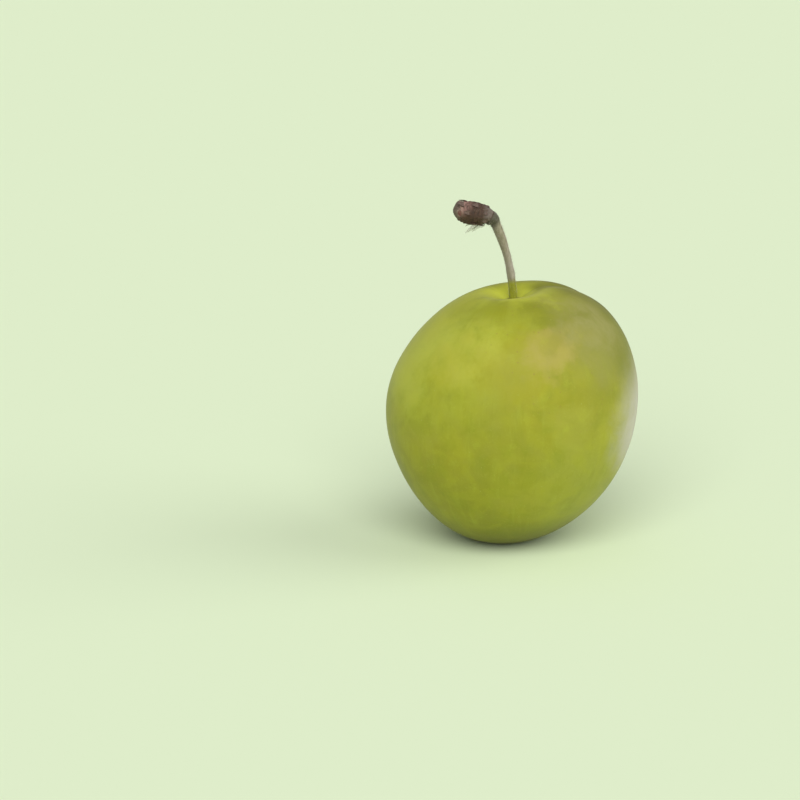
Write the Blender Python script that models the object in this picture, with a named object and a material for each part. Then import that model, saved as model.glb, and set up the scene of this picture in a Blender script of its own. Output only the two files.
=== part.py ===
"""A green plum standing on the small flat spot under it, with its curved stem and the knob of old wood that
came away with the stem. Metres, +Z up, front towards -Y. The origin lies under the middle of the fruit's
box, on the surface that the fruit stands on."""

import bpy
import bmesh
import numpy as np

# Fruit
HALF_WIDTH = 0.02117
HALF_HEIGHT = 0.02226
DEPTH_SHARE = 0.97
SHOULDER_POWER = 0.935
TOP_FULLNESS = 0.060
SIDEWAYS_LEAN = 0.086
# Low swellings seen from the front: how many round the fruit, and their cosine and sine shares
FRONT_SWELLINGS = ((3, -0.004, 0.002), (4, 0.008, -0.004), (5, -0.004, 0.002))
# Three low swellings seen from above, as a share of the radius
PLAN_SWELLING = 0.008
# The fuller right shoulder: where it lies, how far it swells as a share of the radius, and how wide it is
SHOULDER_AZIMUTH = np.radians(18.0)
SHOULDER_ELEVATION = np.radians(50.0)
SHOULDER_SWELLING = 0.014
SHOULDER_SPREAD = 0.050

# Hollow round the stem, and the plain hole that the stem stands in
HOLLOW_DEPTH = 0.0030
HOLLOW_WIDTH = 0.0045
HOLE_RADIUS = 0.00105
HOLE_DEPTH = 0.0032

# Seam over the right shoulder and down behind it, which starts and ends over these angles down from the top
SEAM_AZIMUTH = np.radians(23.06)
SEAM_DEPTH = 0.00032
SEAM_HALF_WIDTH = 0.0017
SEAM_START = (0.12, 0.32)
SEAM_END = (2.45, 2.80)
SEAM_SHOULDER_DEPTH = 0.00020
SEAM_SHOULDER_ANGLE = 0.42
SEAM_SHOULDER_SPREAD = 0.22

# Flat spot, and the dimple that the flower left in it
REST_CUT = 0.0005
DIMPLE_RADIUS = 0.0011
DIMPLE_DEPTH = 0.0006
DIMPLE_WALL_RADIUS = 0.55 * DIMPLE_RADIUS
DIMPLE_WALL_DEPTH = 0.75 * DIMPLE_DEPTH

# Stem, which bends in one upright plane. It slims above its foot and thickens again over these shares of it
TOUCHING_GAP = 0.0003
STEM_LENGTH = 0.01812
STEM_FOOT_RADIUS = 0.00070
STEM_RADIUS = 0.00064
STEM_TOP_RADIUS = 0.00080
STEM_SLIMMING = (0.10, 0.35)
STEM_THICKENING = (0.60, 0.92)
COLLAR_RADIUS = 0.00120
COLLAR_LENGTH = 0.0017
BEND_AZIMUTH = np.radians(192.0)
LEAN_AT_FOOT = np.radians(-3.2)
LEAN_AT_TOP = np.radians(25.8)
LEAN_AT_COLLAR = np.radians(58.0)
TURN_LENGTH = 0.0012

# Knob of old wood, a blunt barrel that goes on from the stem's collar and bends a little further over
STUB_LENGTH = 0.0065
STUB_LEAN = np.radians(77.4)
STUB_TURN_LENGTH = 0.0016
STUB_RADIUS = 0.00192
STUB_ROOT_SHARE = 0.62
STUB_ROOT_END = 0.50
STUB_ROUNDING_START = 0.45
STUB_ROUNDING_POWER = 2.3
RING_SPACING = 0.00125
RING_HEIGHT = 0.00010
RING_START = (0.02, 0.12)
RING_END = (0.70, 0.90)
FURROW_SHARE = 0.035
FURROW_TURN = 0.7
BUD_HEIGHT = 0.00045
BUD_ANGLE = np.radians(200.0)
BUD_PLACE = 0.90
BUD_LENGTH_SHARE = 0.09
BUD_HALF_TURN = 0.55
BUD_END_SHARE = 0.06

# Faces. Rows crowd together round the hollow, at the collar and where the knob rounds off
FRUIT_COLUMNS = 68
FRUIT_ROWS = 44
FRUIT_CROWDING = 1.2
STEM_COLUMNS = 14
STEM_ROWS = 34
STEM_CROWDING = 0.8
STUB_COLUMNS = 26
STUB_ROWS = 30
STUB_CROWDING = 1.2
LINE_STEPS = 400
FOOT_SEARCH_START = 2.6
FOOT_SEARCH_STEPS = 200
HALVINGS = 40


def smooth_step(value, start, end):
    """0 up to start, 1 from end on, and an even S between them."""
    share = np.clip((value - start) / (end - start), 0.0, 1.0)
    return share * share * (3.0 - 2.0 * share)


def seam_depth(polar, azimuth):
    """How far the seam pulls the skin in: a rounded valley on one side only, deepest over the shoulder, that
    starts inside the hollow and fades out before the foot."""
    turn = azimuth - SEAM_AZIMUTH
    across = HALF_WIDTH * np.sin(polar) * np.sin(turn)
    valley = np.exp(-(across / SEAM_HALF_WIDTH) ** 2) * (np.cos(turn) > 0.0)
    past_shoulder = (polar - SEAM_SHOULDER_ANGLE) / SEAM_SHOULDER_SPREAD
    shoulder = SEAM_SHOULDER_DEPTH * np.exp(-past_shoulder ** 2)
    ends = smooth_step(polar, *SEAM_START) * (1.0 - smooth_step(polar, *SEAM_END))
    return (SEAM_DEPTH + shoulder) * valley * ends


def fruit_point(polar, azimuth):
    """A point of the skin, from the angle down from the top and the angle round the fruit: a squared ball,
    fuller above its middle and over its right shoulder, leaning sideways, with low swellings, the hollow at its
    top and the seam."""
    ring = np.sin(polar) ** SHOULDER_POWER * (1.0 + TOP_FULLNESS * np.cos(polar))
    ring = ring * (1.0 - PLAN_SWELLING * np.sin(3.0 * azimuth) * np.sin(polar) ** 2)
    x = HALF_WIDTH * ring * np.cos(azimuth)
    y = HALF_WIDTH * DEPTH_SHARE * ring * np.sin(azimuth)
    z = HALF_HEIGHT * np.cos(polar) + SIDEWAYS_LEAN * x
    front_angle = np.arctan2(z, x)
    front_share = np.hypot(x, z) / np.sqrt(x * x + y * y + z * z)
    growth = np.ones_like(x)
    for count, cosine, sine in FRONT_SWELLINGS:
        wave = cosine * np.cos(count * front_angle) + sine * np.sin(count * front_angle)
        growth = growth + wave * front_share ** count
    level_share = np.cos(SHOULDER_ELEVATION)
    facing = x * np.cos(SHOULDER_AZIMUTH) * level_share + y * np.sin(SHOULDER_AZIMUTH) * level_share
    facing = (facing + z * np.sin(SHOULDER_ELEVATION)) / np.sqrt(x * x + y * y + z * z)
    growth = growth + SHOULDER_SWELLING * np.exp((facing - 1.0) / SHOULDER_SPREAD)
    place = np.stack([x, y, z], axis=-1) * growth[..., None]
    from_axis = np.hypot(place[..., 0], place[..., 1])
    hollow = HOLLOW_DEPTH * np.exp(-(from_axis / HOLLOW_WIDTH) ** 2)
    place[..., 2] -= np.where(polar < np.pi / 2.0, hollow, 0.0)
    reach = np.linalg.norm(place, axis=-1)
    return place * (1.0 - seam_depth(polar, azimuth) / reach)[..., None]


def flat_height():
    """Height of the flat spot's plane, a little above the lowest point of the round form."""
    polar = np.linspace(FOOT_SEARCH_START, np.pi, FOOT_SEARCH_STEPS)
    azimuth = np.linspace(0.0, 2.0 * np.pi, FOOT_SEARCH_STEPS)
    return fruit_point(*np.meshgrid(polar, azimuth))[..., 2].min() + REST_CUT


def polar_at_height(height, azimuth):
    """The angle down from the top at which the lower half crosses a height, found by halving."""
    low = np.full_like(azimuth, np.pi / 2.0)
    high = np.full_like(azimuth, np.pi)
    for _ in range(HALVINGS):
        middle = 0.5 * (low + high)
        above = fruit_point(middle, azimuth)[..., 2] > height
        low = np.where(above, middle, low)
        high = np.where(above, high, middle)
    return 0.5 * (low + high)


def fruit_rings():
    """Rings from the foot of the stem's hole, up its wall, over the skin and in across the flat spot to the
    dimple, and the middle points of the hole's foot and of the dimple."""
    azimuth = SEAM_AZIMUTH + 2.0 * np.pi * np.arange(FRUIT_COLUMNS) / FRUIT_COLUMNS
    mouth_polar = np.arcsin((HOLE_RADIUS / (HALF_WIDTH * (1.0 + TOP_FULLNESS))) ** (1.0 / SHOULDER_POWER))
    rest = flat_height()
    edge_polar = polar_at_height(rest, azimuth)
    share = np.linspace(0.0, 1.0, FRUIT_ROWS)[:, None] ** FRUIT_CROWDING
    polar = mouth_polar + (edge_polar[None, :] - mouth_polar) * share
    skin = fruit_point(polar, np.broadcast_to(azimuth, polar.shape))
    skin[-1, :, 2] = rest

    mouth = skin[0]
    hole_foot = mouth[:, 2].min() - HOLE_DEPTH
    hole = [mouth.copy(), mouth.copy()]
    hole[0][:, 2] = hole_foot
    hole[1][:, 2] = 0.5 * (hole_foot + mouth[:, 2])

    outline = skin[-1]
    circle = np.stack([np.cos(azimuth), np.sin(azimuth), np.zeros_like(azimuth)], axis=-1)
    dimple_edge = circle * DIMPLE_RADIUS + [0.0, 0.0, rest]
    half_way = 0.5 * (outline + dimple_edge)
    dimple_wall = circle * DIMPLE_WALL_RADIUS + [0.0, 0.0, rest + DIMPLE_WALL_DEPTH]

    rings = hole + list(skin) + [half_way, dimple_edge, dimple_wall]
    hole_middle = np.array([0.0, 0.0, hole_foot])
    dimple_middle = np.array([0.0, 0.0, rest + DIMPLE_DEPTH])
    return rings, hole_middle, dimple_middle


def bend_directions(lean):
    """The stem's direction at a lean from upright, and the direction square to it in the same plane."""
    out = np.array([np.cos(BEND_AZIMUTH), np.sin(BEND_AZIMUTH), 0.0])
    up = np.array([0.0, 0.0, 1.0])
    along = np.sin(lean)[..., None] * out + np.cos(lean)[..., None] * up
    square = np.cos(lean)[..., None] * out - np.sin(lean)[..., None] * up
    return along, square


def leaning_line(start, lean, length):
    """Points from start along a line of the given length, whose lean at even steps is given."""
    along = bend_directions(lean)[0]
    stride = 0.5 * (along[1:] + along[:-1]) * length / (len(lean) - 1)
    return start + np.concatenate([np.zeros((1, 3)), np.cumsum(stride, axis=0)])


def at_shares(rows, share, lean, line):
    """The lean and the point of a line at each row's share of its length."""
    row_lean = np.interp(rows, share, lean)
    row_line = np.stack([np.interp(rows, share, line[:, axis]) for axis in range(3)], axis=-1)
    return row_lean, row_line


def swept_rings(line, lean, radius):
    """Rings round a line in the bend plane; radius holds one row for each point and one column for each
    angle round it."""
    angle = 2.0 * np.pi * np.arange(radius.shape[1]) / radius.shape[1]
    square = bend_directions(lean)[1]
    sideways = np.array([-np.sin(BEND_AZIMUTH), np.cos(BEND_AZIMUTH), 0.0])
    spoke = np.cos(angle)[None, :, None] * square[:, None, :] + np.sin(angle)[None, :, None] * sideways
    return line[:, None, :] + radius[..., None] * spoke


def stem_rings(foot):
    """The stem's rings: its lean grows evenly and then turns into the collar; it is slender, thicker towards
    the top, with a flared collar and a slightly wider foot."""
    share = np.linspace(0.0, 1.0, LINE_STEPS)
    lean = LEAN_AT_FOOT + (LEAN_AT_TOP - LEAN_AT_FOOT) * share
    turn = smooth_step(share * STEM_LENGTH, STEM_LENGTH - TURN_LENGTH, STEM_LENGTH)
    lean = lean + (LEAN_AT_COLLAR - lean) * turn
    rows = np.linspace(0.0, 1.0, STEM_ROWS) ** STEM_CROWDING
    row_lean, row_line = at_shares(rows, share, lean, leaning_line(foot, lean, STEM_LENGTH))
    from_top = (1.0 - rows) * STEM_LENGTH
    radius = STEM_FOOT_RADIUS + (STEM_RADIUS - STEM_FOOT_RADIUS) * smooth_step(rows, *STEM_SLIMMING)
    radius = radius + (STEM_TOP_RADIUS - STEM_RADIUS) * smooth_step(rows, *STEM_THICKENING)
    radius = radius + (COLLAR_RADIUS - STEM_TOP_RADIUS) * (1.0 - smooth_step(from_top, 0.0, COLLAR_LENGTH))
    rings = swept_rings(row_line, row_lean, np.repeat(radius[:, None], STEM_COLUMNS, axis=1))
    return list(rings), row_line[0], row_line[-1]


def stub_radius(share, angle):
    """Radius of the knob: a barrel with a blunt far end and a flat root, lengthwise furrows, the rings of old
    bud scales and one small bud low on the far end."""
    rounding = np.clip((share - STUB_ROUNDING_START) / (1.0 - STUB_ROUNDING_START), 0.0, 1.0)
    far = np.sqrt(1.0 - rounding ** STUB_ROUNDING_POWER)
    widening = np.sin(0.5 * np.pi * np.clip(share / STUB_ROOT_END, 0.0, 1.0))
    root = STUB_ROOT_SHARE + (1.0 - STUB_ROOT_SHARE) * widening
    furrows = 1.0 + FURROW_SHARE * (np.sin(5.0 * angle + FURROW_TURN) + 0.6 * np.cos(3.0 * angle))
    ring_phase = 2.0 * np.pi * share * STUB_LENGTH / RING_SPACING
    ring_ends = smooth_step(share, *RING_START) * (1.0 - smooth_step(share, *RING_END))
    rings = RING_HEIGHT * np.cos(ring_phase) * ring_ends
    turn = np.angle(np.exp(1j * (angle - BUD_ANGLE)))
    bud = BUD_HEIGHT * np.exp(-((share - BUD_PLACE) / BUD_LENGTH_SHARE) ** 2 - (turn / BUD_HALF_TURN) ** 2)
    return (STUB_RADIUS * root * furrows + rings) * far + bud * smooth_step(1.0 - share, 0.0, BUD_END_SHARE)


def stub_rings(root):
    """The knob's rings, in line with the collar at its root, closer together where its far end rounds off."""
    share = np.linspace(0.0, 1.0, LINE_STEPS)
    turn = smooth_step(share * STUB_LENGTH, 0.0, STUB_TURN_LENGTH)
    lean = LEAN_AT_COLLAR + (STUB_LEAN - LEAN_AT_COLLAR) * turn
    rows = np.sin(0.5 * np.pi * np.linspace(0.0, 1.0, STUB_ROWS)) ** STUB_CROWDING
    row_lean, row_line = at_shares(rows, share, lean, leaning_line(root, lean, STUB_LENGTH))
    angle = 2.0 * np.pi * np.arange(STUB_COLUMNS) / STUB_COLUMNS
    rings = swept_rings(row_line, row_lean, stub_radius(rows[:, None], angle[None, :]))
    return list(rings[:-1]), row_line[0], row_line[-1]


def closed_piece(name, rings, first_middle, last_middle, material):
    """One closed body: neighbouring rings joined by faces, and each end closed by a fan to its middle."""
    shape = bmesh.new()
    rows = [[shape.verts.new(point) for point in ring] for ring in rings]
    ends = [shape.verts.new(first_middle), shape.verts.new(last_middle)]
    columns = len(rows[0])
    for column in range(columns):
        beside = (column + 1) % columns
        for upper, lower in zip(rows[:-1], rows[1:]):
            shape.faces.new((upper[column], lower[column], lower[beside], upper[beside]))
        shape.faces.new((ends[0], rows[0][column], rows[0][beside]))
        shape.faces.new((ends[1], rows[-1][beside], rows[-1][column]))
    bmesh.ops.recalc_face_normals(shape, faces=shape.faces)
    mesh = bpy.data.meshes.new(name)
    shape.to_mesh(mesh)
    shape.free()
    mesh.materials.append(material)
    mesh.shade_smooth()
    piece = bpy.data.objects.new(name, mesh)
    bpy.context.scene.collection.objects.link(piece)
    return piece


def plain_material(name, colour, roughness):
    """A Principled material with one colour and no metal."""
    material = bpy.data.materials.new(name)
    material.use_nodes = True
    shader = material.node_tree.nodes["Principled BSDF"]
    shader.inputs["Base Color"].default_value = (*colour, 1.0)
    shader.inputs["Roughness"].default_value = roughness
    shader.inputs["Metallic"].default_value = 0.0
    material.diffuse_color = (*colour, 1.0)
    return material


def clear_scene():
    """Empties the scene before the plum is built."""
    for old in list(bpy.data.objects):
        bpy.data.objects.remove(old, do_unlink=True)


def build_plum():
    """The fruit, the stem in its hole and the knob at the stem's collar, moved so that the fruit stands on
    the origin's plane with the middle of its box over the origin."""
    fruit, hole_middle, dimple_middle = fruit_rings()
    stem_foot = hole_middle + [0.0, 0.0, TOUCHING_GAP]
    stem, stem_start, stem_end = stem_rings(stem_foot)
    collar_direction = bend_directions(np.array(LEAN_AT_COLLAR))[0]
    stub, stub_start, stub_end = stub_rings(stem_end + collar_direction * TOUCHING_GAP)

    points = np.concatenate(fruit)
    low, high = points.min(axis=0), points.max(axis=0)
    shift = -np.array([0.5 * (low[0] + high[0]), 0.5 * (low[1] + high[1]), low[2]])

    skin = plain_material("plum_skin", (0.35, 0.38, 0.035), 0.42)
    stalk = plain_material("stem_stalk", (0.24, 0.22, 0.12), 0.75)
    bark = plain_material("spur_bark", (0.07, 0.045, 0.03), 0.85)
    pieces = (
        ("plum_fruit", fruit, hole_middle, dimple_middle, skin),
        ("plum_stem", stem, stem_start, stem_end, stalk),
        ("spur_stub", stub, stub_start, stub_end, bark),
    )
    for name, rings, first_middle, last_middle, material in pieces:
        moved = [ring + shift for ring in rings]
        closed_piece(name, moved, first_middle + shift, last_middle + shift, material)


clear_scene()
build_plum()
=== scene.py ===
"""A green plum with its bloomed skin, its stalk and the knob of old wood it was picked with. The pieces made
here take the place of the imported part's plain solids. Metres, +Z up, front towards -Y."""

import bpy
import numpy as np
from mathutils import Matrix, Vector


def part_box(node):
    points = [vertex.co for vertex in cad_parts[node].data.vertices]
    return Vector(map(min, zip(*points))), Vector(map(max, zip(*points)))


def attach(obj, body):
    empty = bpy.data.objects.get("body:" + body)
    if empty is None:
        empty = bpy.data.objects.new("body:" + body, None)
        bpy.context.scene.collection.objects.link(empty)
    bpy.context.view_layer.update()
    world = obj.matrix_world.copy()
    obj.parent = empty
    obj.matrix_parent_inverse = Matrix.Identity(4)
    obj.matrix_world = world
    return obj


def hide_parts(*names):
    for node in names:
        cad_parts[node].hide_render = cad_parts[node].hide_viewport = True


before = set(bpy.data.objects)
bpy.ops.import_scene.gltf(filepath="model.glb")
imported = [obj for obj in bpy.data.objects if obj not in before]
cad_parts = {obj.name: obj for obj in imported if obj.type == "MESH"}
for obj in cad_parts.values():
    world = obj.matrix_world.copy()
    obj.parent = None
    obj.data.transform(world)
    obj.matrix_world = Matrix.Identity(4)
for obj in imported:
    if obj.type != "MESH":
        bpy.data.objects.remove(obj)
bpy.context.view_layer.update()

MM = 0.001

# Fruit form, the same driving dimensions as the solid's
HALF_WIDTH = 21.17 * MM
HALF_HEIGHT = 22.26 * MM
DEPTH_SHARE = 0.97
SHOULDER_POWER = 0.935
TOP_FULLNESS = 0.060
SIDEWAYS_LEAN = 0.086

# Low swellings seen from the front: how many round, and the shares of their cosine and sine
FRONT_SWELLINGS = ((3, -0.004, 0.002), (4, 0.008, -0.004), (5, -0.004, 0.002))
PLAN_SWELLING = 0.008

# Fuller right shoulder: its side's azimuth and elevation in degrees, how far it swells, and its spread
SHOULDER_SIDE = (18.0, 50.0)
SHOULDER_SWELLING = 0.014
SHOULDER_SPREAD = 0.050

# Hollow that the stalk stands in
HOLLOW_DEPTH = 3.0 * MM
HOLLOW_WIDTH = 4.5 * MM

# Seam down one side: its starts, ends and angles are radians from the top
SEAM_AZIMUTH = np.radians(23.06)
SEAM_DEPTH = 0.32 * MM
SEAM_HALF_WIDTH = 1.7 * MM
SEAM_START = (0.12, 0.32)
SEAM_END = (2.45, 2.80)
SEAM_SHOULDER_DEPTH = 0.20 * MM
SEAM_SHOULDER_ANGLE = 0.42
SEAM_SHOULDER_SPREAD = 0.22

# Flat spot, and the flower's dimple in it
REST_CUT = 0.5 * MM
DIMPLE_RADIUS = 1.1 * MM
DIMPLE_DEPTH = 0.6 * MM

# Grid on which the form's middle and foot are found: rows, columns, and its end rows' angles from the top
FORM_GRID = (300, 360)
FORM_ENDS = (0.02, np.pi - 0.001)

# Fine relief of the skin. Here and below, a layer of soft lumps is their height, their size and a seed
FLAT_ROUNDING = 0.12 * MM
SWELL_START = (2.0 * MM, 6.0 * MM)
SWELLS = (0.07 * MM, 7.0 * MM, 11)
SMALL_SWELLS = (0.0245 * MM, 3.1 * MM, 12)
CALLUS_RADIUS = 1.15 * MM
CALLUS_WIDTH = 0.28 * MM
CALLUS_HEIGHT = 0.14 * MM
CALLUS_LUMPS = (0.5, 0.5 * MM, 14)
PIT_DEPTH = 0.7 * MM
PIT_RADII = (0.45 * MM, 0.95 * MM)
FOLD_COUNT = 9
FOLD_DEPTH = 0.035 * MM
FOLD_RADIUS = 2.1 * MM
FOLD_WIDTH = 0.9 * MM
FOLD_WANDER = (0.35, 1.6 * MM, 13)
DIMPLE_EDGE = (0.25 * DIMPLE_RADIUS, 1.1 * DIMPLE_RADIUS)
NUB_HEIGHT = 0.5 * DIMPLE_DEPTH
NUB_RADIUS = 0.3 * DIMPLE_RADIUS

# Stalk
TOUCHING_GAP = 0.3 * MM
GAP_CLOSING = 0.8 * TOUCHING_GAP
STEM_LENGTH = 18.12 * MM
STEM_FOOT_RADIUS = 0.70 * MM
STEM_RADIUS = 0.64 * MM
STEM_TOP_RADIUS = 0.80 * MM
STEM_SLIMMING = (0.10, 0.35)
STEM_THICKENING = (0.60, 0.92)
COLLAR_RADIUS = 1.20 * MM
COLLAR_LENGTH = 1.7 * MM
BEND_AZIMUTH = np.radians(192.0)
LEAN_AT_FOOT = np.radians(-3.2)
LEAN_AT_TOP = np.radians(25.8)
LEAN_AT_COLLAR = np.radians(58.0)
TURN_LENGTH = 1.2 * MM
RIB_COUNT = 7
RIB_SHARE = 0.035
RIB_TWIST = 1.1
RIB_START = (0.05, 0.30)
STEM_GRAIN = (0.030 * MM, 0.42 * MM, 21)
STEM_GRAIN_STRETCH = 0.45
STEM_LUMPS = (0.05 * MM, 2.3 * MM, 22)

# Wrinkles round the collar: how far below its top, width and depth
WRINKLES = ((1.15 * MM, 0.14 * MM, 0.060 * MM), (0.55 * MM, 0.12 * MM, 0.048 * MM))

# Knob of old wood
STUB_LENGTH = 6.5 * MM
STUB_LEAN = np.radians(77.4)
STUB_TURN_LENGTH = 1.6 * MM
STUB_RADIUS = 1.92 * MM
STUB_ROOT_SHARE = 0.62
STUB_ROOT_END = 0.50
STUB_ROUNDING_START = 0.45
STUB_ROUNDING_POWER = 2.3
FURROW_SHARE = 0.035
FURROW_TURN = 0.7
BUD_HEIGHT = 0.45 * MM
BUD_ANGLE = np.radians(200.0)
BUD_PLACE = 0.90
BUD_LENGTH_SHARE = 0.09
BUD_HALF_TURN = 0.55
BUD_END_SHARE = 0.06

# Bark of the knob, the wandering of its scales' edges, and the height that its finish takes as full
CRACKS = (1.0, 0.62 * MM, 32)
CRACK_DEPTH = 0.05 * MM
BARK_GRAIN = (0.022 * MM, 0.28 * MM, 33)
FINE_BARK_GRAIN = (0.0132 * MM, 0.14 * MM, 34)
BARK_LUMPS = (0.10 * MM, 1.3 * MM, 35)
WARTS = (1.0, 0.5 * MM, 36)
WART_HEIGHT = 0.05 * MM
SCALE_WANDER = (0.030, 0.9 * MM, 31)
SCALE_TURN_WANDER = (0.25, 1.2 * MM, 38)
FULL_RELIEF = 0.16 * MM

# Scales that lap over one another along the knob, from its root to its tip
SCALE_PLACES = (0.10, 0.19, 0.30, 0.43, 0.56, 0.69, 0.81)
SCALES_ROUND = 3
SCALE_ROW_TURN = 2.4
SCALE_REACH = 0.085
SCALE_HEIGHT = 0.13 * MM
SCALE_FADE = 0.10
SCALE_LIP = (-0.012, 0.006)
SCALE_UNDERCUT = 0.004
SCALLOP_POWER = 2.2

# The sunken oval scar on the knob
SCAR_PLACE = 0.86
SCAR_ANGLE = np.radians(78.0)
SCAR_RADIUS = 0.50 * MM
SCAR_EDGE = (0.75 * SCAR_RADIUS, 1.05 * SCAR_RADIUS)
SCAR_DEPTH = 0.10 * MM
SCAR_OVAL = (1.25, 1.0, 0.85)
SCAR_RIM = (1.2 * SCAR_RADIUS, 0.25 * SCAR_RADIUS)
SCAR_RIM_HEIGHT = 0.05 * MM

# Small dry scales that stand off the knob: place along it and angle round it
DRY_SCALES = ((0.17, 0.15), (0.15, 1.15), (0.20, 2.05), (0.16, 2.95), (0.19, 4.0), (0.17, 5.1),
              (0.40, 0.55), (0.46, 2.45), (0.52, 5.6), (0.66, 1.7), (0.74, 3.4), (0.83, 2.5))
DRY_SCALE_LENGTHS = (0.75 * MM, 1.25 * MM)
DRY_SCALE_HALF_WIDTHS = (0.34 * MM, 0.52 * MM)
DRY_SCALE_HALF_THICKNESS = 0.022 * MM
DRY_SCALE_ROOT_DEPTH = 0.02 * MM
DRY_SCALE_BURIED_SHARE = 0.3
DRY_SCALE_LEANS = (0.10, 0.28)
DRY_SCALE_CURLS = (0.1, 0.6)
BLADE_BOW = 0.35

# Papery shreds under the knob: place along it, angle round it, length, half width, slant to the tip and curl
SHREDS = ((0.30, 0.00, 2.6 * MM, 0.34 * MM, 0.95, 0.10),
          (0.34, 0.40, 2.1 * MM, 0.24 * MM, 1.15, 0.20),
          (0.22, 0.10, 1.9 * MM, 0.30 * MM, 0.80, -0.25),
          (0.42, -0.35, 1.4 * MM, 0.18 * MM, 0.90, 0.30),
          (0.08, 0.20, 1.2 * MM, 0.34 * MM, 0.45, 0.40),
          (0.13, -0.45, 1.1 * MM, 0.26 * MM, 0.60, 0.30))
SHRED_HALF_THICKNESS = 0.018 * MM
SHRED_ROOT_DEPTH = 0.10 * MM

# Down on the stalk
HAIR_COUNT = 900
HAIR_LENGTHS = (0.14 * MM, 0.42 * MM)
HAIR_RADIUS = 0.013 * MM
HAIR_STEPS = 5
HAIR_ROOT_DEPTH = 0.02 * MM
DOWN_REACH = 0.78

# Dry tip of the flower's style, in the dimple
STYLE_RADIUS = 0.24 * MM
STYLE_TIP_RADIUS = 0.012 * MM
STYLE_LENGTH = 0.30 * MM
STYLE_LUMPS = (0.04 * MM, 0.1 * MM, 71)
STYLE_ROOT_HEIGHT = 0.62 * DIMPLE_DEPTH

# Rows and columns of the surfaces, and the angles from the top at which the skin's rows begin and end
SKIN_GRID = (238, 408)
SKIN_ENDS = (0.004, np.pi - 0.008)
STEM_GRID = (330, 96)
KNOB_GRID = (250, 300)
BLADE_GRID = (16, 10)
STYLE_GRID = (14, 12)
LINE_STEPS = 400

# Fixed random heights of the lumps, and how a lattice corner is counted off into them
LUMP_HEIGHTS = 4096
LUMP_STRIDES = np.array([73, 179, 283])

# Patches of painted light and painted shade on the skin's colour: azimuth, elevation and reach in degrees on
# the fruit, strength and colour
GROUND_PATCHES = {
    "upper_left": (-148.0, 50.0, 62.0, 0.85, (0.375, 0.412, 0.036)),
    "low_right": (-46.0, -26.0, 44.0, 0.65, (0.340, 0.358, 0.044)),
    "low_front": (-81.0, -28.0, 24.0, 0.40, (0.370, 0.375, 0.026))}
# Painted light on the left shoulder and on a small spot right of the middle; painted shade over the right
# shoulder and on a patch right of the middle
SHOULDER_PATCHES = {
    "left_shoulder": (-168.0, 38.0, 36.0, 0.55, (0.500, 0.530, 0.080)),
    "dusk": (-5.0, 52.0, 54.0, 0.90, (0.178, 0.187, 0.014)),
    "mid_right": (-52.0, 18.0, 22.0, 0.30, (0.215, 0.222, 0.020)),
    "mid_light": (-61.0, 6.0, 13.0, 0.26, (0.400, 0.405, 0.066))}
# Painted light on the hollow's lip in front and on its left
LIP_PATCHES = {
    "front_lip": (-66.0, 75.0, 14.0, 0.64, (0.500, 0.525, 0.042)),
    "left_lip": (-160.0, 66.0, 16.0, 0.40, (0.470, 0.495, 0.040))}
PATCH_DRIFT = 0.55

# Tints of the finishes: strength and colour
SKIN_TINTS = {
    "broad": (0.40, (0.345, 0.325, 0.016)),
    "light_blotch": (0.30, (0.365, 0.370, 0.020)),
    "dark_blotch": (0.26, (0.215, 0.250, 0.008)),
    "mottle": (0.24, (0.215, 0.265, 0.010)),
    "strand": (0.26, (0.375, 0.400, 0.040)),
    "hairline": (0.14, (0.195, 0.225, 0.008)),
    "stipple": (0.16, (0.440, 0.460, 0.060)),
    # A pale warm-toned patch of painted light, where the light falls brightest
    "warm": (0.36, (0.520, 0.500, 0.075)),
    "ripe": (0.66, (0.315, 0.297, 0.004)),
    "blush": (0.58, (0.412, 0.332, 0.088)),
    "freckle": (0.28, (0.250, 0.120, 0.050)),
    "pore": (0.30, (0.420, 0.440, 0.120)),
    "fleck": (0.18, (0.420, 0.460, 0.040)),
    # Painted light: the stalk's hollow brightened
    "hollow": (0.85, (0.478, 0.508, 0.042)),
    "mouth_shade": (0.52, (0.235, 0.250, 0.006)),
    "mouth_light": (0.30, (0.470, 0.490, 0.034)),
    # Painted shade below the hollow's front lip
    "below_lip": (0.25, (0.240, 0.250, 0.006)),
    # Painted shade on both sides of the seam over the shoulder
    "seam_shade": (0.60, (0.135, 0.136, 0.020)),
    # A painted shadow where the seam meets the hollow
    "seam_mouth": (0.85, (0.185, 0.195, 0.006)),
    "seam_line": (0.35, (0.200, 0.205, 0.030)),
    "film": (0.60, (0.308, 0.292, 0.100)),
    # Thick bloom and a painted sheen in one grey band down the right side
    "bloom": (0.88, (0.545, 0.520, 0.450)),
    "callus": (1.00, (0.170, 0.135, 0.030)),
    # Painted shade at the foot
    "foot_shade": (0.72, (0.120, 0.122, 0.006)),
    "flower_scar": (0.90, (0.150, 0.095, 0.045))}
STEM_TINTS = {
    "tan_patch": (0.60, (0.330, 0.275, 0.225)),
    "pale_length": (0.45, (0.410, 0.370, 0.310)),
    # Painted shade down the stalk's left side
    "weathered": (0.55, (0.120, 0.104, 0.062)),
    "collar": (1.00, (0.042, 0.038, 0.018)),
    "speck": (0.65, (0.085, 0.055, 0.030))}
BARK_TINTS = {
    "scale": (0.35, (0.092, 0.046, 0.030)),
    "crest": (0.60, (0.170, 0.110, 0.085)),
    # A painted highlight on the knob's side
    "weathered": (0.90, (0.400, 0.225, 0.185)),
    "root_ring": (1.00, (0.200, 0.165, 0.140)),
    "tip": (1.00, (0.225, 0.200, 0.140)),
    "crease": (0.70, (0.022, 0.013, 0.008)),
    "lichen": (0.45, (0.230, 0.230, 0.160))}
DRY_SCALE_TINTS = {"patch": (0.40, (0.130, 0.105, 0.082))}
PAPER_COLOUR = (0.737, 0.847, 0.591, 1.0)

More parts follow.
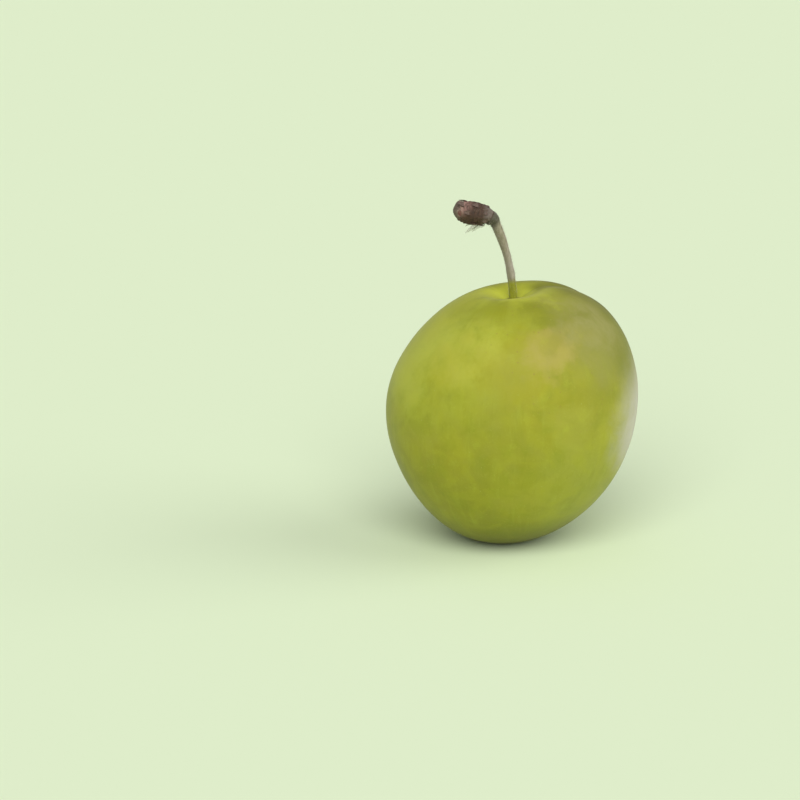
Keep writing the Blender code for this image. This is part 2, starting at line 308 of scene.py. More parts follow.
# Middle of the painted highlight on the knob's side, measured from the knob's root
WEATHERED_SIDE = np.array([-5.0, -1.6, 2.6]) * MM

# Camera: where the fruit's middle stands in the picture, and how many pixels a millimetre is there
IMAGE_SIZE = 800.0
FRUIT_PIXEL = (513.0, 412.0)
PIXELS_PER_MM = 5.88
CAMERA_DISTANCE = 550.0 * MM
CAMERA_ELEVATION = np.radians(16.0)
SENSOR_WIDTH = 36.0

# Lamps: azimuth and elevation in degrees, and strength
LAMP_WIDTH = np.radians(50.0)
LAMPS = (("front_lamp", -90.0, 40.0, 2.30),
         ("right_lamp", 0.0, 40.0, 0.45),
         ("low_right_lamp", 0.0, 18.0, 0.75))
ROOM_LIGHT = 0.3635
FLOOR_HALF = 4.0


def smooth_step(value, start, end):
    """0 up to start, 1 from end on, and an even S between them."""
    share = np.clip((value - start) / (end - start), 0.0, 1.0)
    return share * share * (3.0 - 2.0 * share)


def hump(value, middle, width):
    """A bell of height 1 at middle that falls to about a third one width away."""
    return np.exp(-((value - middle) / width) ** 2)


def unit(vector):
    """Vectors of length 1 in the same directions."""
    return vector / np.linalg.norm(vector, axis=-1, keepdims=True)


def side_way(azimuth, elevation):
    """The direction of length 1 towards a side given by its azimuth from +X and its elevation, in degrees."""
    azimuth, elevation = np.radians(azimuth), np.radians(elevation)
    level = np.cos(elevation)
    return np.array([np.cos(azimuth) * level, np.sin(azimuth) * level, np.sin(elevation)])


def plain(vector):
    """A vector as plain numbers, for a node's socket."""
    return tuple(float(part) for part in vector)


def square_to(direction, vector):
    """What is left of a vector without its part along a direction, at length 1."""
    return unit(vector - np.dot(vector, direction) * direction)


def turns(columns):
    """Even steps once round."""
    return 2.0 * np.pi * np.arange(columns) / columns


def over_grid(rows, columns):
    """A surface's two parameters on its grid: its rows' values, and even steps once round."""
    return np.broadcast_arrays(rows[:, None], turns(columns)[None, :])


def lumps(place, layer):
    """Soft lumps, up and down by the layer's height: each corner of a cubic lattice of the layer's size has a
    fixed random height, and a point takes the smooth mean of the eight corners round it."""
    height, size, seed = layer
    heights = np.random.default_rng(seed).uniform(-1.0, 1.0, LUMP_HEIGHTS)
    cell = np.floor(place / size).astype(int)
    part = place / size - cell
    part = part * part * (3.0 - 2.0 * part)
    total = np.zeros(place.shape[:-1])
    for corner in np.ndindex(2, 2, 2):
        step = np.array(corner)
        weight = np.prod(np.where(step == 1, part, 1.0 - part), axis=-1)
        total += weight * heights[(cell + step) @ LUMP_STRIDES % LUMP_HEIGHTS]
    return height * total


def seam_depth(polar, azimuth):
    """How far the seam pulls the skin in: a rounded valley on one side only, deepest over the shoulder."""
    turn = azimuth - SEAM_AZIMUTH
    across = HALF_WIDTH * np.sin(polar) * np.sin(turn)
    valley = hump(across, 0.0, SEAM_HALF_WIDTH) * (np.cos(turn) > 0.0)
    shoulder = SEAM_SHOULDER_DEPTH * hump(polar, SEAM_SHOULDER_ANGLE, SEAM_SHOULDER_SPREAD)
    ends = smooth_step(polar, *SEAM_START) * (1.0 - smooth_step(polar, *SEAM_END))
    return (SEAM_DEPTH + shoulder) * valley * ends


def fruit_point(polar, azimuth):
    """The plain form round the origin, from the angle down from its top and the angle round: a squared ball,
    fuller above its middle and over its right shoulder and leaning sideways, with low swellings, the stem
    hollow and the seam."""
    ring = np.sin(polar) ** SHOULDER_POWER * (1.0 + TOP_FULLNESS * np.cos(polar))
    ring = ring * (1.0 - PLAN_SWELLING * np.sin(3.0 * azimuth) * np.sin(polar) ** 2)
    x = HALF_WIDTH * ring * np.cos(azimuth)
    y = HALF_WIDTH * DEPTH_SHARE * ring * np.sin(azimuth)
    z = HALF_HEIGHT * np.cos(polar) + SIDEWAYS_LEAN * x
    reach = np.sqrt(x * x + y * y + z * z)
    front_angle = np.arctan2(z, x)
    front_share = np.hypot(x, z) / reach
    growth = np.ones_like(x)
    for count, cosine, sine in FRONT_SWELLINGS:
        wave = cosine * np.cos(count * front_angle) + sine * np.sin(count * front_angle)
        growth = growth + wave * front_share ** count
    place = np.stack([x, y, z], axis=-1)
    facing_share = place @ side_way(*SHOULDER_SIDE) / reach
    growth = growth + SHOULDER_SWELLING * np.exp((facing_share - 1.0) / SHOULDER_SPREAD)
    place = place * growth[..., None]
    from_axis = np.hypot(place[..., 0], place[..., 1])
    hollow = HOLLOW_DEPTH * hump(from_axis, 0.0, HOLLOW_WIDTH)
    place[..., 2] -= np.where(polar < np.pi / 2.0, hollow, 0.0)
    reach = np.linalg.norm(place, axis=-1)
    return place * (1.0 - seam_depth(polar, azimuth) / reach)[..., None]


def fruit_shift():
    """The step from the form's own place to its place in the frame, and the height of its flat spot."""
    rows, columns = FORM_GRID
    form = fruit_point(*over_grid(np.linspace(*FORM_ENDS, rows), columns)).reshape(-1, 3)
    low, high = (np.array(corner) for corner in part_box("plum_fruit"))
    rest = form[:, 2].min() + REST_CUT
    middle = 0.5 * (form.min(axis=0) + form.max(axis=0))
    shift = 0.5 * (low + high) - middle
    shift[2] = low[2] - rest
    return shift, rest


def skin_point(polar, azimuth, rest):
    """The skin: the plain form with slow swells, folds that run into the stalk, a raised callus and a pit
    round it, a gently rounded flat spot and the flower's dimple in it."""
    place = fruit_point(polar, azimuth)
    from_axis = np.hypot(place[..., 0], place[..., 1])
    upper = polar < np.pi / 2.0
    reach = np.linalg.norm(place, axis=-1, keepdims=True)
    swell = lumps(place, SWELLS) + lumps(place, SMALL_SWELLS)
    place = place * (1.0 + (swell * smooth_step(from_axis, *SWELL_START))[..., None] / reach)
    wander = azimuth + lumps(place, FOLD_WANDER)
    fold = FOLD_DEPTH * hump(from_axis, FOLD_RADIUS, FOLD_WIDTH)
    fold = fold * (0.5 + 0.5 * np.cos(FOLD_COUNT * wander)) ** 2
    callus = CALLUS_HEIGHT * hump(from_axis, CALLUS_RADIUS, CALLUS_WIDTH)
    callus = callus * (1.0 + lumps(place, CALLUS_LUMPS))
    pit = PIT_DEPTH * (1.0 - smooth_step(from_axis, *PIT_RADII))
    place[..., 2] += np.where(upper, callus - fold - pit, 0.0)
    over = place[..., 2] - rest
    flat = rest + 0.5 * (over + np.sqrt(over * over + FLAT_ROUNDING ** 2))
    dimple = DIMPLE_DEPTH * (1.0 - smooth_step(from_axis, *DIMPLE_EDGE))
    nub = NUB_HEIGHT * (1.0 - smooth_step(from_axis, 0.0, NUB_RADIUS))
    place[..., 2] = np.where(upper, place[..., 2], flat + dimple - nub)
    return place


def bend_directions(lean):
    """The stalk's direction at a lean from upright, and the direction square to it in the same plane."""
    out = np.array([np.cos(BEND_AZIMUTH), np.sin(BEND_AZIMUTH), 0.0])
    up = np.array([0.0, 0.0, 1.0])
    lean = np.asarray(lean)[..., None]
    return np.sin(lean) * out + np.cos(lean) * up, np.cos(lean) * out - np.sin(lean) * up


def leaning_line(start, lean, length):
    """Points from start along a line of the given length, whose lean at even steps is given."""
    along = bend_directions(lean)[0]
    stride = 0.5 * (along[1:] + along[:-1]) * length / (len(lean) - 1)
    return start + np.concatenate([np.zeros((1, 3)), np.cumsum(stride, axis=0)])


def at_shares(rows, lean, line):
    """The lean and the point of a line at each row's share of its length."""
    share = np.linspace(0.0, 1.0, LINE_STEPS)
    row_line = np.stack([np.interp(rows, share, line[:, axis]) for axis in range(3)], axis=-1)
    return np.interp(rows, share, lean), row_line


def spokes(lean, angle):
    """Directions from a line outwards, at an angle round it; angle 90 degrees faces the front."""
    square = bend_directions(lean)[1]
    sideways = np.array([-np.sin(BEND_AZIMUTH), np.cos(BEND_AZIMUTH), 0.0])
    return np.cos(angle)[..., None] * square + np.sin(angle)[..., None] * sideways


def stem_course(foot):
    """The stalk's lean and middle line: the lean grows evenly and then turns into the collar."""
    share = np.linspace(0.0, 1.0, LINE_STEPS)
    lean = LEAN_AT_FOOT + (LEAN_AT_TOP - LEAN_AT_FOOT) * share
    turn = smooth_step(share * STEM_LENGTH, STEM_LENGTH - TURN_LENGTH, STEM_LENGTH)
    lean = lean + (LEAN_AT_COLLAR - lean) * turn
    return lean, leaning_line(foot, lean, STEM_LENGTH)


def stem_point(rows, angle, foot):
    """The stalk's surface: slender and thicker towards its flared collar, with low ribs that twist slowly
    round it, fine grain, soft lumps and wrinkles round the collar."""
    lean, line = stem_course(foot)
    row_lean, row_line = at_shares(rows, lean, line)
    from_top = (1.0 - rows) * STEM_LENGTH
    radius = STEM_FOOT_RADIUS + (STEM_RADIUS - STEM_FOOT_RADIUS) * smooth_step(rows, *STEM_SLIMMING)
    radius = radius + (STEM_TOP_RADIUS - STEM_RADIUS) * smooth_step(rows, *STEM_THICKENING)
    radius = radius + (COLLAR_RADIUS - STEM_TOP_RADIUS) * (1.0 - smooth_step(from_top, 0.0, COLLAR_LENGTH))
    for place, width, depth in WRINKLES:
        radius = radius - depth * hump(from_top, place, width)
    ribs = RIB_SHARE * np.cos(RIB_COUNT * (angle + RIB_TWIST * rows)) * smooth_step(rows, *RIB_START)
    spoke = spokes(row_lean, angle)
    bare = row_line + radius[..., None] * spoke
    drawn_out = bare * np.array([1.0, 1.0, STEM_GRAIN_STRETCH])
    rough = lumps(drawn_out, STEM_GRAIN) + lumps(bare, STEM_LUMPS)
    return row_line + (radius * (1.0 + ribs) + rough)[..., None] * spoke


def stub_course(root):
    """The knob's lean and middle line, in line with the collar at its root."""
    share = np.linspace(0.0, 1.0, LINE_STEPS)
    turn = smooth_step(share * STUB_LENGTH, 0.0, STUB_TURN_LENGTH)
    lean = LEAN_AT_COLLAR + (STUB_LEAN - LEAN_AT_COLLAR) * turn
    return lean, leaning_line(root, lean, STUB_LENGTH)


def stub_radius(share, angle):
    """The knob's plain radius: a barrel with a blunt far end, low furrows and one small bud. Gives also how
    little the far end has closed, from 1 to 0."""
    rounding = np.clip((share - STUB_ROUNDING_START) / (1.0 - STUB_ROUNDING_START), 0.0, 1.0)
    far = np.sqrt(1.0 - rounding ** STUB_ROUNDING_POWER)
    widening = np.sin(0.5 * np.pi * np.clip(share / STUB_ROOT_END, 0.0, 1.0))
    root = STUB_ROOT_SHARE + (1.0 - STUB_ROOT_SHARE) * widening
    furrows = 1.0 + FURROW_SHARE * (np.sin(5.0 * angle + FURROW_TURN) + 0.6 * np.cos(3.0 * angle))
    turn = np.angle(np.exp(1j * (angle - BUD_ANGLE)))
    bud = BUD_HEIGHT * np.exp(-((share - BUD_PLACE) / BUD_LENGTH_SHARE) ** 2 - (turn / BUD_HALF_TURN) ** 2)
    bud = bud * smooth_step(1.0 - share, 0.0, BUD_END_SHARE)
    return STUB_RADIUS * root * furrows * far + bud, far


def knob_spot(place, angle, lean, line):
    """One spot of the knob, at a share of its length and an angle round it: the point of the middle line, the
    plain radius, and the directions outwards and along."""
    row_lean, row_line = at_shares(np.array([place]), lean, line)
    radius = stub_radius(np.array([place]), angle)[0][0]
    return row_line[0], radius, spokes(row_lean, np.array([angle]))[0], bend_directions(row_lean)[0][0]


def scale_relief(share, angle):
    """Scales in rows round the knob. A row's free edge runs in broad scallops towards the tip, stands up
    highest at the edge and sinks back towards the root, and the next row starts from under it. Gives the
    height from 0 to 1 and a fixed random tint for each scale."""
    height = np.zeros(share.shape)
    tint = np.full(share.shape, 0.5)
    tints = np.random.default_rng(41).uniform(0.0, 1.0, (len(SCALE_PLACES) + 1, SCALES_ROUND))
    for row, place in reversed(list(enumerate(SCALE_PLACES))):
        turn = np.mod((angle - SCALE_ROW_TURN * row) * SCALES_ROUND / (2.0 * np.pi), float(SCALES_ROUND))
        across = 2.0 * (turn - np.floor(turn)) - 1.0
        edge = place + SCALE_REACH * (1.0 - np.abs(across) ** SCALLOP_POWER)
        behind = edge - share
        lip = np.exp(-np.maximum(behind, 0.0) / SCALE_FADE) * smooth_step(behind, *SCALE_LIP)
        lip = lip * (0.55 + 0.45 * (1.0 - np.abs(across) ** 4))
        height = np.where(behind > -SCALE_UNDERCUT, lip, np.maximum(height, lip))
        tint = np.where(behind > 0.0, tints[row][np.floor(turn).astype(int) % SCALES_ROUND], tint)
    return height, tint


def bark_relief(bare, share, angle):
    """Height of the bark over the knob's plain surface: lapping scales with wandering edges, the cracks where
    soft lumps pass through zero, fine grain, broad lumps and a few warts. Gives the scales' tints too."""
    scales, tint = scale_relief(share + lumps(bare, SCALE_WANDER), angle + lumps(bare, SCALE_TURN_WANDER))
    crack = np.abs(lumps(bare * np.array([0.7, 1.0, 1.0]), CRACKS))
    crack = smooth_step(crack, 0.0, 0.20) - 1.0
    wart = smooth_step(lumps(bare, WARTS), 0.45, 0.75)
    grain = lumps(bare, BARK_GRAIN) + lumps(bare, FINE_BARK_GRAIN)
    relief = SCALE_HEIGHT * (scales - 0.45) + CRACK_DEPTH * crack + grain
    return relief + lumps(bare, BARK_LUMPS) + WART_HEIGHT * wart, tint


def stub_surface(rows, angle, root):
    """The knob: its plain radius with the bark's relief and one sunken oval scar on the front of its far end.
    Gives the points, the relief from -1 to 1, the scale tints and the scar's share."""
    lean, line = stub_course(root)
    row_lean, row_line = at_shares(rows, lean, line)
    radius, far = stub_radius(rows, angle)
    spoke = spokes(row_lean, angle)
    bare = row_line + radius[..., None] * spoke
    relief, tint = bark_relief(bare, rows, angle)
    scar_line, scar_radius, scar_spoke, _ = knob_spot(SCAR_PLACE, SCAR_ANGLE, lean, line)
    from_scar = np.linalg.norm((bare - scar_line - scar_radius * scar_spoke) * np.array(SCAR_OVAL), axis=-1)
    scar = 1.0 - smooth_step(from_scar, *SCAR_EDGE)
    relief = relief * (1.0 - 0.7 * scar) - SCAR_DEPTH * scar
    relief = relief + SCAR_RIM_HEIGHT * hump(from_scar, *SCAR_RIM)
    place = bare + (relief * np.minimum(1.0, 1.3 * far))[..., None] * spoke
    return place, np.clip(relief / FULL_RELIEF, -1.0, 1.0), tint, scar


def mesh_piece(name, points, faces):
    """A mesh object at the origin from points and faces, shaded smooth, that rides on the root body."""
    mesh = bpy.data.meshes.new(name)
    mesh.from_pydata(points.tolist(), [], faces)
    mesh.update()
    mesh.shade_smooth()
    piece = bpy.data.objects.new(name, mesh)
    bpy.context.scene.collection.objects.link(piece)
    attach(piece, "root")
    return piece


def closed_grid(rows, columns, turned_over=False):
    """Faces of a closed surface: rings of points one after another, then the two end points. Neighbouring
    rings are joined by quads and the ends by fans, the other way out where the surface is turned over."""
    row, column = np.meshgrid(np.arange(rows - 1), np.arange(columns), indexing="ij")
    beside = (column + 1) % columns
    quads = np.stack([row * columns + column, (row + 1) * columns + column,
                      (row + 1) * columns + beside, row * columns + beside], axis=-1).reshape(-1, 4)
    around = np.arange(columns)
    after = (around + 1) % columns
    start = np.stack([np.full(columns, rows * columns), around, after], axis=-1)
    last = (rows - 1) * columns
    end = np.stack([np.full(columns, rows * columns + 1), last + after, last + around], axis=-1)
    faces = quads.tolist() + start.tolist() + end.tolist()
    return [face[::-1] for face in faces] if turned_over else faces


def with_ends(rings, start=None, end=None):
    """Points of a closed surface: its rings, and one point at each end, which is the end ring's middle unless
    it is given."""
    start = rings[0].mean(axis=0) if start is None else start
    end = rings[-1].mean(axis=0) if end is None else end
    return np.concatenate([rings.reshape(-1, 3), [start, end]])


def joined_pieces(name, tubes):
    """One mesh from many closed tubes of rings, each closed by a point at both ends."""
    points, faces, start = [], [], 0
    for rings in tubes:
        rows, columns = rings.shape[:2]
        points.append(with_ends(rings))
        for face in closed_grid(rows, columns, turned_over=True):
            faces.append([start + corner for corner in face])
        start += rows * columns + 2
    return mesh_piece(name, np.concatenate(points), faces)


def store(piece, name, values):
    """A number at every point of a piece, for its finish to read."""
    layer = piece.data.attributes.new(name, "FLOAT", "POINT")
    layer.data.foreach_set("value", np.asarray(values, dtype=np.float32).ravel())


def make_skin(shift, rest):
    """The fruit's skin as one closed surface, its rows closest together round the stalk."""
    rows, columns = SKIN_GRID
    share = np.linspace(0.0, 1.0, rows)
    start, end = SKIN_ENDS
    polar = start + (end - start) * (0.75 * share + 0.25 * share ** 2.2)
    rings = skin_point(*over_grid(polar, columns), rest)
    skin = mesh_piece("fruit_skin", with_ends(rings) + shift, closed_grid(rows, columns))
    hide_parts("plum_fruit")
    return skin


def make_stem(foot):
    """The stalk as one closed tube, its rows a little closer towards the collar. Its end is carried on into
    the knob across the gap that the solids keep."""
    rows, columns = STEM_GRID
    share, angle = over_grid(np.linspace(0.0, 1.0, rows) ** 0.85, columns)
    rings = stem_point(share, angle, foot)
    line = stem_course(foot)[1]
    closing = bend_directions(np.array(LEAN_AT_COLLAR))[0] * GAP_CLOSING
    rings[-1] += closing
    points = with_ends(rings, line[0], line[-1] + closing)
    stem = mesh_piece("stem_stalk", points, closed_grid(rows, columns, turned_over=True))
    store(stem, "along", np.append(share.ravel(), [0.0, 1.0]))
    # How much painted shade each point of the stalk takes, most down its left side
    store(stem, "lee", np.append((0.5 + 0.5 * np.cos(angle)).ravel(), [0.5, 0.5]))
    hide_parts("plum_stem")
    return stem


def make_knob(root):
    """The knob of old wood as one closed surface, its rows closest together at the far end."""
    rows, columns = KNOB_GRID
    share = np.sin(0.5 * np.pi * np.linspace(0.0, 1.0, rows)) ** 1.15
    # The last ring keeps a little width, so that its points stay apart
    share[-1] = 1.0 - 1e-5
    share, angle = over_grid(share, columns)
    rings, height, tint, scar = stub_surface(share, angle, root)
    points = with_ends(rings, stub_course(root)[1][0])
    knob = mesh_piece("spur_knob", points, closed_grid(rows, columns, turned_over=True))
    store(knob, "along", np.append(share.ravel(), [0.0, 1.0]))
    for name, values in (("height", height), ("tint", tint), ("scar", scar)):
        store(knob, name, np.append(values.ravel(), [values[0].mean(), values[-1].mean()]))
    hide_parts("spur_stub")
    return knob


def blade_rings(base, out, lay, length, half_width, half_thickness, curl):
    """A thin dry blade: flat oval rings along a line that starts along out and curls towards lay. Its width
    swells over the first quarter and then tapers to the tip, and it is bowed across."""
    rows, columns = BLADE_GRID
    share = np.linspace(0.0, 1.0, rows)
    turn = curl * share
    heading = np.cos(turn)[:, None] * out + np.sin(turn)[:, None] * lay
    line = base + np.concatenate([np.zeros((1, 3)), np.cumsum(heading[1:] * length / (rows - 1), axis=0)])
    face = np.cos(turn)[:, None] * lay - np.sin(turn)[:, None] * out
    side = np.cross(face, heading)
    taper = (np.sin(np.pi * (0.12 + 0.88 * share) ** 0.62) ** 0.8 + 0.02)[:, None]
    angle = turns(columns)[None, :]
    across = half_width * taper * np.cos(angle)
    rise = half_thickness * taper * np.sin(angle) - BLADE_BOW * half_width * taper * np.cos(angle) ** 2
    return line[:, None, :] + across[..., None] * side[:, None, :] + rise[..., None] * face[:, None, :]


def make_bud_scales(root):
    """Small dry scales that stand off the knob."""
    draw = np.random.default_rng(51)
    lean, line = stub_course(root)
    blades = []
    for place, angle in DRY_SCALES:
        middle, radius, spoke, along = knob_spot(place, angle, lean, line)
        base = middle + (radius - DRY_SCALE_ROOT_DEPTH) * spoke
        out = unit(along + draw.uniform(*DRY_SCALE_LEANS) * spoke)
        length = draw.uniform(*DRY_SCALE_LENGTHS)
        half_width = draw.uniform(*DRY_SCALE_HALF_WIDTHS)
        curl = draw.uniform(*DRY_SCALE_CURLS)
        base = base - DRY_SCALE_BURIED_SHARE * length * along
        length = length * (1.0 + DRY_SCALE_BURIED_SHARE)
        blades.append(blade_rings(base, out, -square_to(out, spoke), length, half_width,
                                  DRY_SCALE_HALF_THICKNESS, curl))
    scales = joined_pieces("bud_scales", blades)
    return scales


def make_shreds(root):
    """Papery shreds that hang from the knob's underside, their flat sides to the front."""
    lean, line = stub_course(root)
    blades = []
    for place, angle, length, half_width, slant, curl in SHREDS:
        middle, radius, spoke, along = knob_spot(place, angle, lean, line)
        out = unit(spoke + slant * along)
        front = knob_spot(place, 0.5 * np.pi, lean, line)[2] + 0.35 * along
        base = middle + (radius - SHRED_ROOT_DEPTH) * spoke
        blades.append(blade_rings(base, out, square_to(out, front), length, half_width,
                                  SHRED_HALF_THICKNESS, curl))
    shreds = joined_pieces("papery_shreds", blades)
    return shreds


def hair_rings(root, out, droop, length):
    """Fine hairs, all at once: three-sided tapered tubes from their roots along out that bend towards
    droop."""
    share = np.linspace(0.0, 1.0, HAIR_STEPS)[None, :, None]
    bent = share * out[:, None, :] + 0.5 * share ** 2 * droop[:, None, :]
    line = root[:, None, :] + length[:, None, None] * bent
    side = unit(np.cross(out, droop + np.array([0.3, 0.2, 0.5])))
    other = np.cross(out, side)
    angle = turns(3)
    spoke = np.cos(angle)[None, :, None] * side[:, None, :] + np.sin(angle)[None, :, None] * other[:, None, :]
    thick = (HAIR_RADIUS * (1.0 - 0.85 * share[0, :, 0]))[None, :, None, None]
    return line[:, :, None, :] + thick * spoke[:, None, :, :]


def make_down(foot):
    """Short pale down on the stalk, a little closer towards its top."""
    draw = np.random.default_rng(61)
    rows = 1.0 - DOWN_REACH * draw.uniform(0.0, 1.0, HAIR_COUNT) ** 1.25
    angle = draw.uniform(0.0, 2.0 * np.pi, HAIR_COUNT)
    lean, line = stem_course(foot)
    row_lean = at_shares(rows, lean, line)[0]
    spoke = spokes(row_lean, angle)
    surface = stem_point(rows, angle, foot)
    along = bend_directions(row_lean)[0]
    out = spoke + 0.6 * along * draw.uniform(-0.4, 1.0, (HAIR_COUNT, 1))
    out = unit(out + 0.25 * draw.normal(0.0, 1.0, (HAIR_COUNT, 3)))
    droop = 0.7 * along * draw.uniform(0.0, 1.0, (HAIR_COUNT, 1))
    droop = droop + 0.35 * draw.normal(0.0, 1.0, (HAIR_COUNT, 3))
    hairs = hair_rings(surface - HAIR_ROOT_DEPTH * spoke, out, droop, draw.uniform(*HAIR_LENGTHS, HAIR_COUNT))
    down = joined_pieces("stem_down", list(hairs))
    return down


def make_style_tip(root):
    """The dry stub of the flower's style, a blunt lumpy cone that points down from its root in the dimple and
    stays clear of the ground."""
    rows, columns = STYLE_GRID
    share = np.linspace(0.0, 1.0, rows)[:, None]
    angle = turns(columns)[None, :]
    radius = STYLE_RADIUS * (1.0 - share) ** 0.45 * (1.0 + 0.15 * np.sin(3.0 * angle + 4.0 * share))
    radius = radius + STYLE_TIP_RADIUS
    x = radius * np.cos(angle) + 0.05 * MM * share
    y = radius * np.sin(angle)
    lump = lumps(np.stack([x, y, np.zeros_like(x)], axis=-1), STYLE_LUMPS)
    rings = root + np.stack([x, y, -STYLE_LENGTH * share + lump], axis=-1)
    tip = mesh_piece("style_tip", with_ends(rings), closed_grid(rows, columns))
    return tip


def joining(operation, turned=False):
    """A method of a signal that joins it and another value by a Math node."""
    def join(signal, other):
        first, second = (other, signal) if turned else (signal, other)
        return signal.finish.math(operation, first, second)
    return join


class Signal:
    """A number on its way through a finish's nodes. Arithmetic on it adds Math nodes."""

    def __init__(self, finish, socket):
        self.finish = finish
        self.socket = socket

    __add__ = joining("ADD")
    __radd__ = joining("ADD", turned=True)
    __sub__ = joining("SUBTRACT")
    __rsub__ = joining("SUBTRACT", turned=True)
    __mul__ = joining("MULTIPLY")
    __rmul__ = joining("MULTIPLY", turned=True)
    __truediv__ = joining("DIVIDE")
    __rtruediv__ = joining("DIVIDE", turned=True)
    __pow__ = joining("POWER")
    __rpow__ = joining("POWER", turned=True)

    def __neg__(self):
        return 0.0 - self

    def within(self, low, high):
        """0 below low, 1 above high, and an even S between them."""
        settings = {"interpolation_type": "SMOOTHSTEP"}
        inputs = {"Value": self, "From Min": low, "From Max": high}
        made = self.finish.node("ShaderNodeMapRange", settings, inputs)
        return Signal(self.finish, made.outputs["Result"])

    def outside(self, low, high):
        """1 below low, 0 above high, and an even S between them."""
        return 1.0 - self.within(low, high)

    def at_least(self, low):
        """A mask lifted, so that it runs from low to 1."""
        return low + (1.0 - low) * self


class Finish:
    """One material and the short calls that lay its nodes. Its patterns are in millimetres from a middle."""

    def __init__(self, name, tints=None, middle=(0.0, 0.0, 0.0)):
        self.tints = tints or {}
        self.material = bpy.data.materials.new(name)
        self.material.use_nodes = True
        self.tree = self.material.node_tree
        self.shader = self.tree.nodes["Principled BSDF"]
        place = self.node("ShaderNodeTexCoord").outputs["Object"]
        self.from_middle = self.vector("SUBTRACT", place, tuple(middle))
        self.millimetres = self.vector("SCALE", self.from_middle, scale=1.0 / MM)

    def node(self, kind, settings=None, inputs=None):
        """Any node, from its type, its settings and the values or links of its sockets."""
        made = self.tree.nodes.new(kind)
        for key, value in (settings or {}).items():
            setattr(made, key, value)
        for key, value in (inputs or {}).items():
            self.feed(made.inputs[key], value)
        return made

    def feed(self, socket, value):
        """Links a signal or a socket, or writes a plain value."""
        value = value.socket if isinstance(value, Signal) else value
        if isinstance(value, bpy.types.NodeSocket):
            self.tree.links.new(value, socket)
        else:
            socket.default_value = value

    def math(self, operation, first, second=0.0):
        """A Math node's number."""
        made = self.node("ShaderNodeMath", {"operation": operation}, {0: first, 1: second})
        return Signal(self, made.outputs[0])

    def vector(self, operation, first, second=None, scale=None):
        """A Vector Math node that gives a vector."""
        made = self.node("ShaderNodeVectorMath", {"operation": operation}, {0: first})
        if second is not None:
            self.feed(made.inputs[1], second)
        if scale is not None:
            self.feed(made.inputs["Scale"], scale)
        return made.outputs["Vector"]

    def measure(self, operation, first, second):
        """A Vector Math node that gives a number."""
        made = self.node("ShaderNodeVectorMath", {"operation": operation}, {0: first, 1: second})
        return Signal(self, made.outputs["Value"])

    def mixed(self, factor, first, second):
        """A colour between two colours."""
        first = (*first, 1.0) if isinstance(first, tuple) else first
        second = (*second, 1.0) if isinstance(second, tuple) else second
        made = self.node("ShaderNodeMix", {"data_type": "RGBA"}, {0: factor, 6: first, 7: second})
        return made.outputs[2]

    def tinted(self, colour, **masks):
        """A colour with some of the finish's tints laid over it in turn, each as far as its mask and its own
        strength let it show."""
        for name, mask in masks.items():
            strength, tint = self.tints[name]
            colour = self.mixed(mask * strength, colour, tint)
        return colour

    def noise(self, scale, detail=2.0, roughness=0.5, distortion=0.0, place=None):
        """Soft noise with so many lumps to a millimetre."""
        place = self.millimetres if place is None else place
        inputs = {"Vector": place, "Scale": scale, "Detail": detail, "Roughness": roughness,
                  "Distortion": distortion}
        return Signal(self, self.node("ShaderNodeTexNoise", {}, inputs).outputs["Fac"])

    def fibres(self, scale, stretch):
        """Noise drawn out into fibres, by how much it is squeezed along each axis."""
        return self.noise(scale, 4.0, 0.65, place=self.vector("MULTIPLY", self.millimetres, stretch))

    def cells(self, scale):
        """Scattered cells: the distance from the nearest one's middle, and a fixed random number for each."""
        made = self.node("ShaderNodeTexVoronoi", {}, {"Vector": self.millimetres, "Scale": scale})
        draw = self.node("ShaderNodeSeparateColor", {}, {0: made.outputs["Color"]})
        return Signal(self, made.outputs["Distance"]), Signal(self, draw.outputs[0])

    def attribute(self, name):
        """A number that the piece stores at its points."""
        return Signal(self, self.node("ShaderNodeAttribute", {"attribute_name": name}).outputs["Fac"])

    def bump(self, height, distance, strength, under=None):
        """A normal tilted by a height, over another normal where one is given."""
        inputs = {"Height": height, "Distance": distance, "Strength": strength}
        if under is not None:
            inputs["Normal"] = under
        return self.node("ShaderNodeBump", {}, inputs).outputs["Normal"]

    def finished(self, colour, roughness, normal=None, constants=None):
        """Feeds the shader and gives the material."""
        self.feed(self.shader.inputs["Base Color"], colour)
        self.feed(self.shader.inputs["Roughness"], roughness)
        if normal is not None:
            self.feed(self.shader.inputs["Normal"], normal)
        for name, value in (constants or {}).items():
            self.shader.inputs[name].default_value = value
        return self.material


